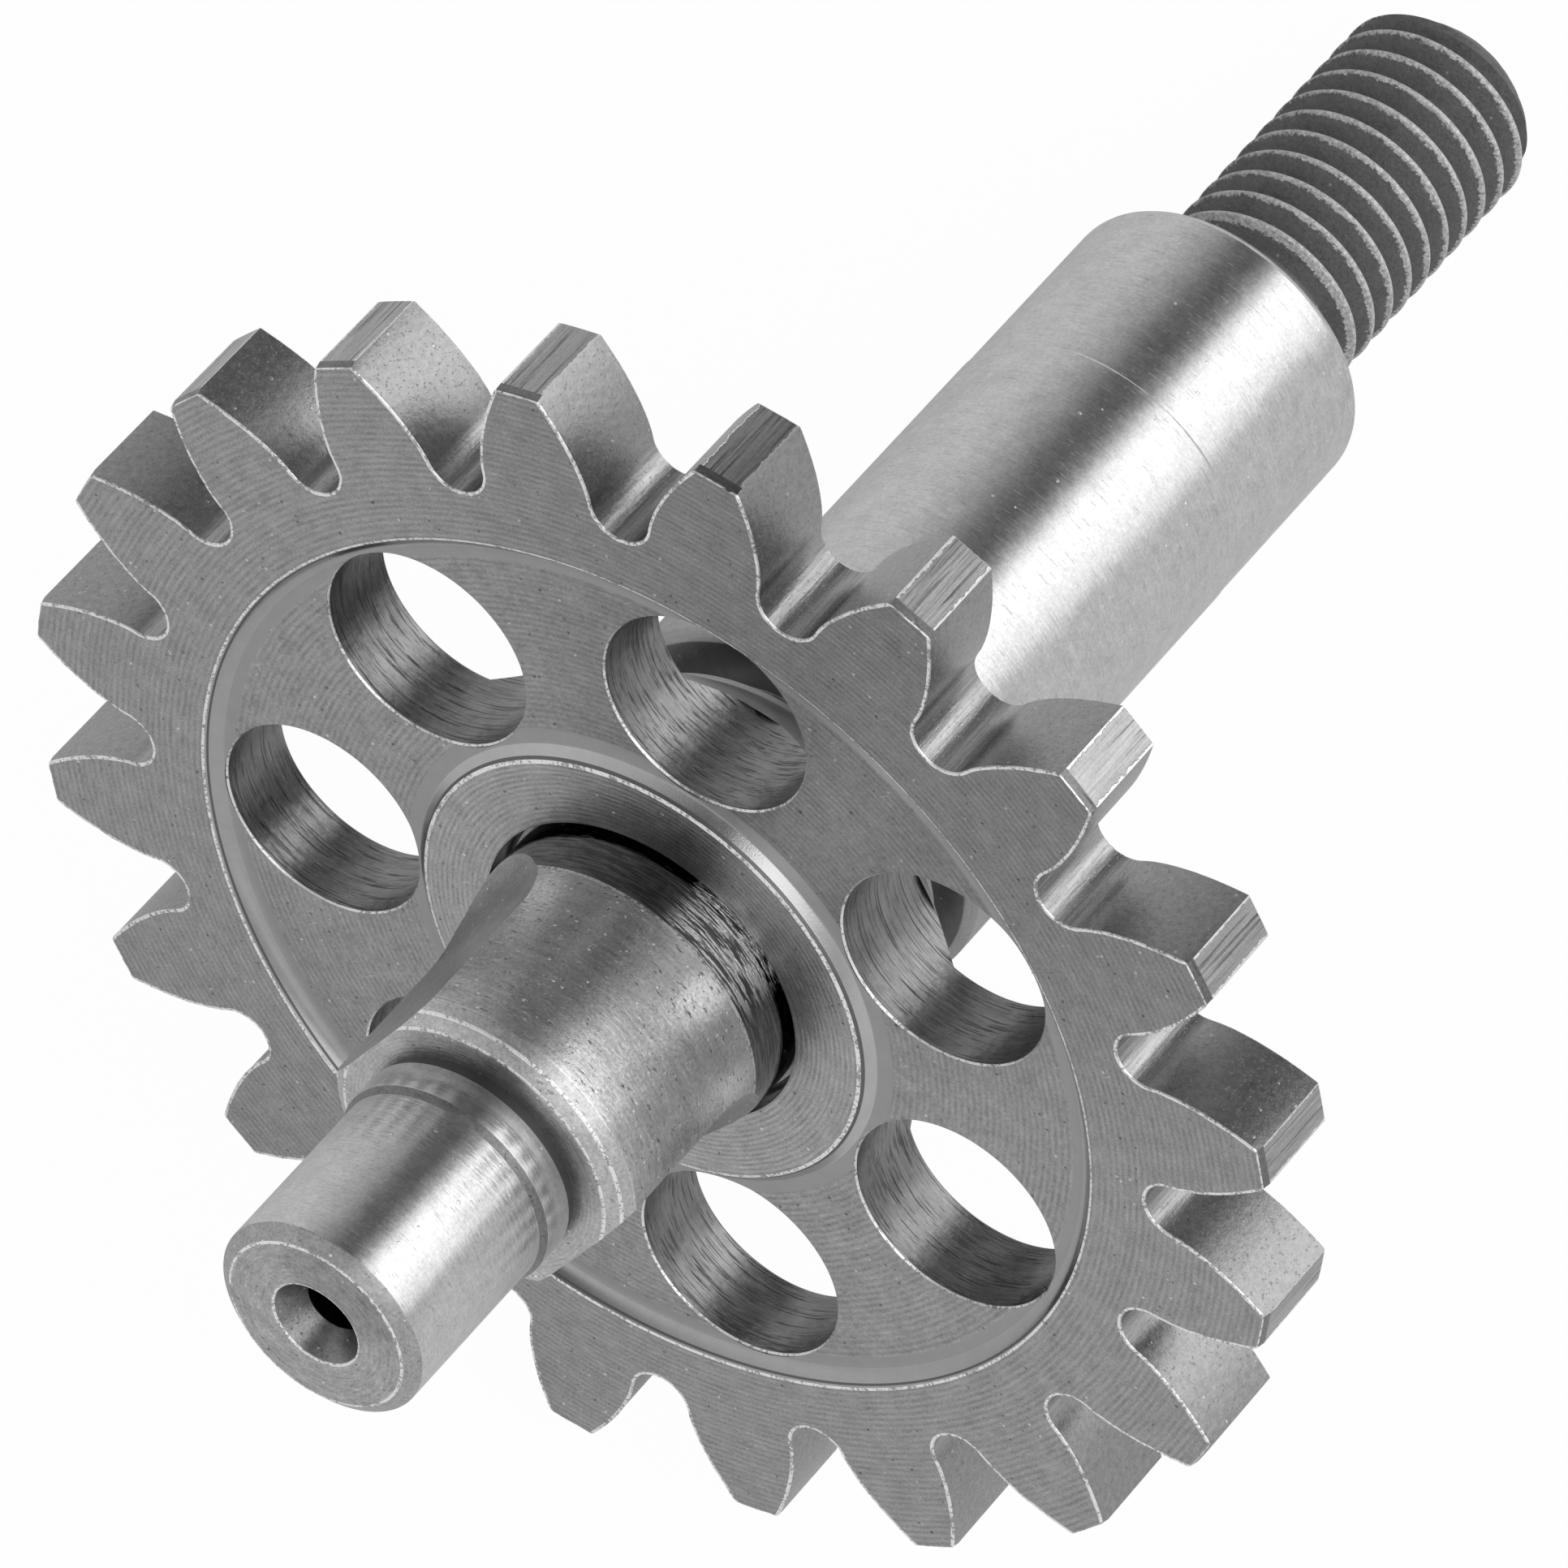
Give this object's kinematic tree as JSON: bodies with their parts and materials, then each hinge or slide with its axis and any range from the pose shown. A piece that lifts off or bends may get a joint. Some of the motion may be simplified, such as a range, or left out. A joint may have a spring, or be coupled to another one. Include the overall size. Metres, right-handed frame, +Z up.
{
  "type": "water pump shaft",
  "caption": "Steel water pump shaft with a pressed-on spur gear, a flatted drive section, a plain front journal, a ground barrel and a threaded end.",
  "frame": {"origin": "centre of the underside of the part as it lies at rest on two gear teeth and the end of the thread", "axes": "+Z up; +Y from the front journal towards the threaded end, level; +X to the right, seen from the front journal"},
  "size_m": [0.0498, 0.0682, 0.047],
  "materials": {
    "shaft_steel": "ground journals, rough turned drive section, dark thread",
    "gear_steel": "fine turned faces with burred tooth edges"
  },
  "bodies": {
    "root": {"shaft": "shaft_steel", "drive_gear": "gear_steel"}
  },
  "joints": []
}
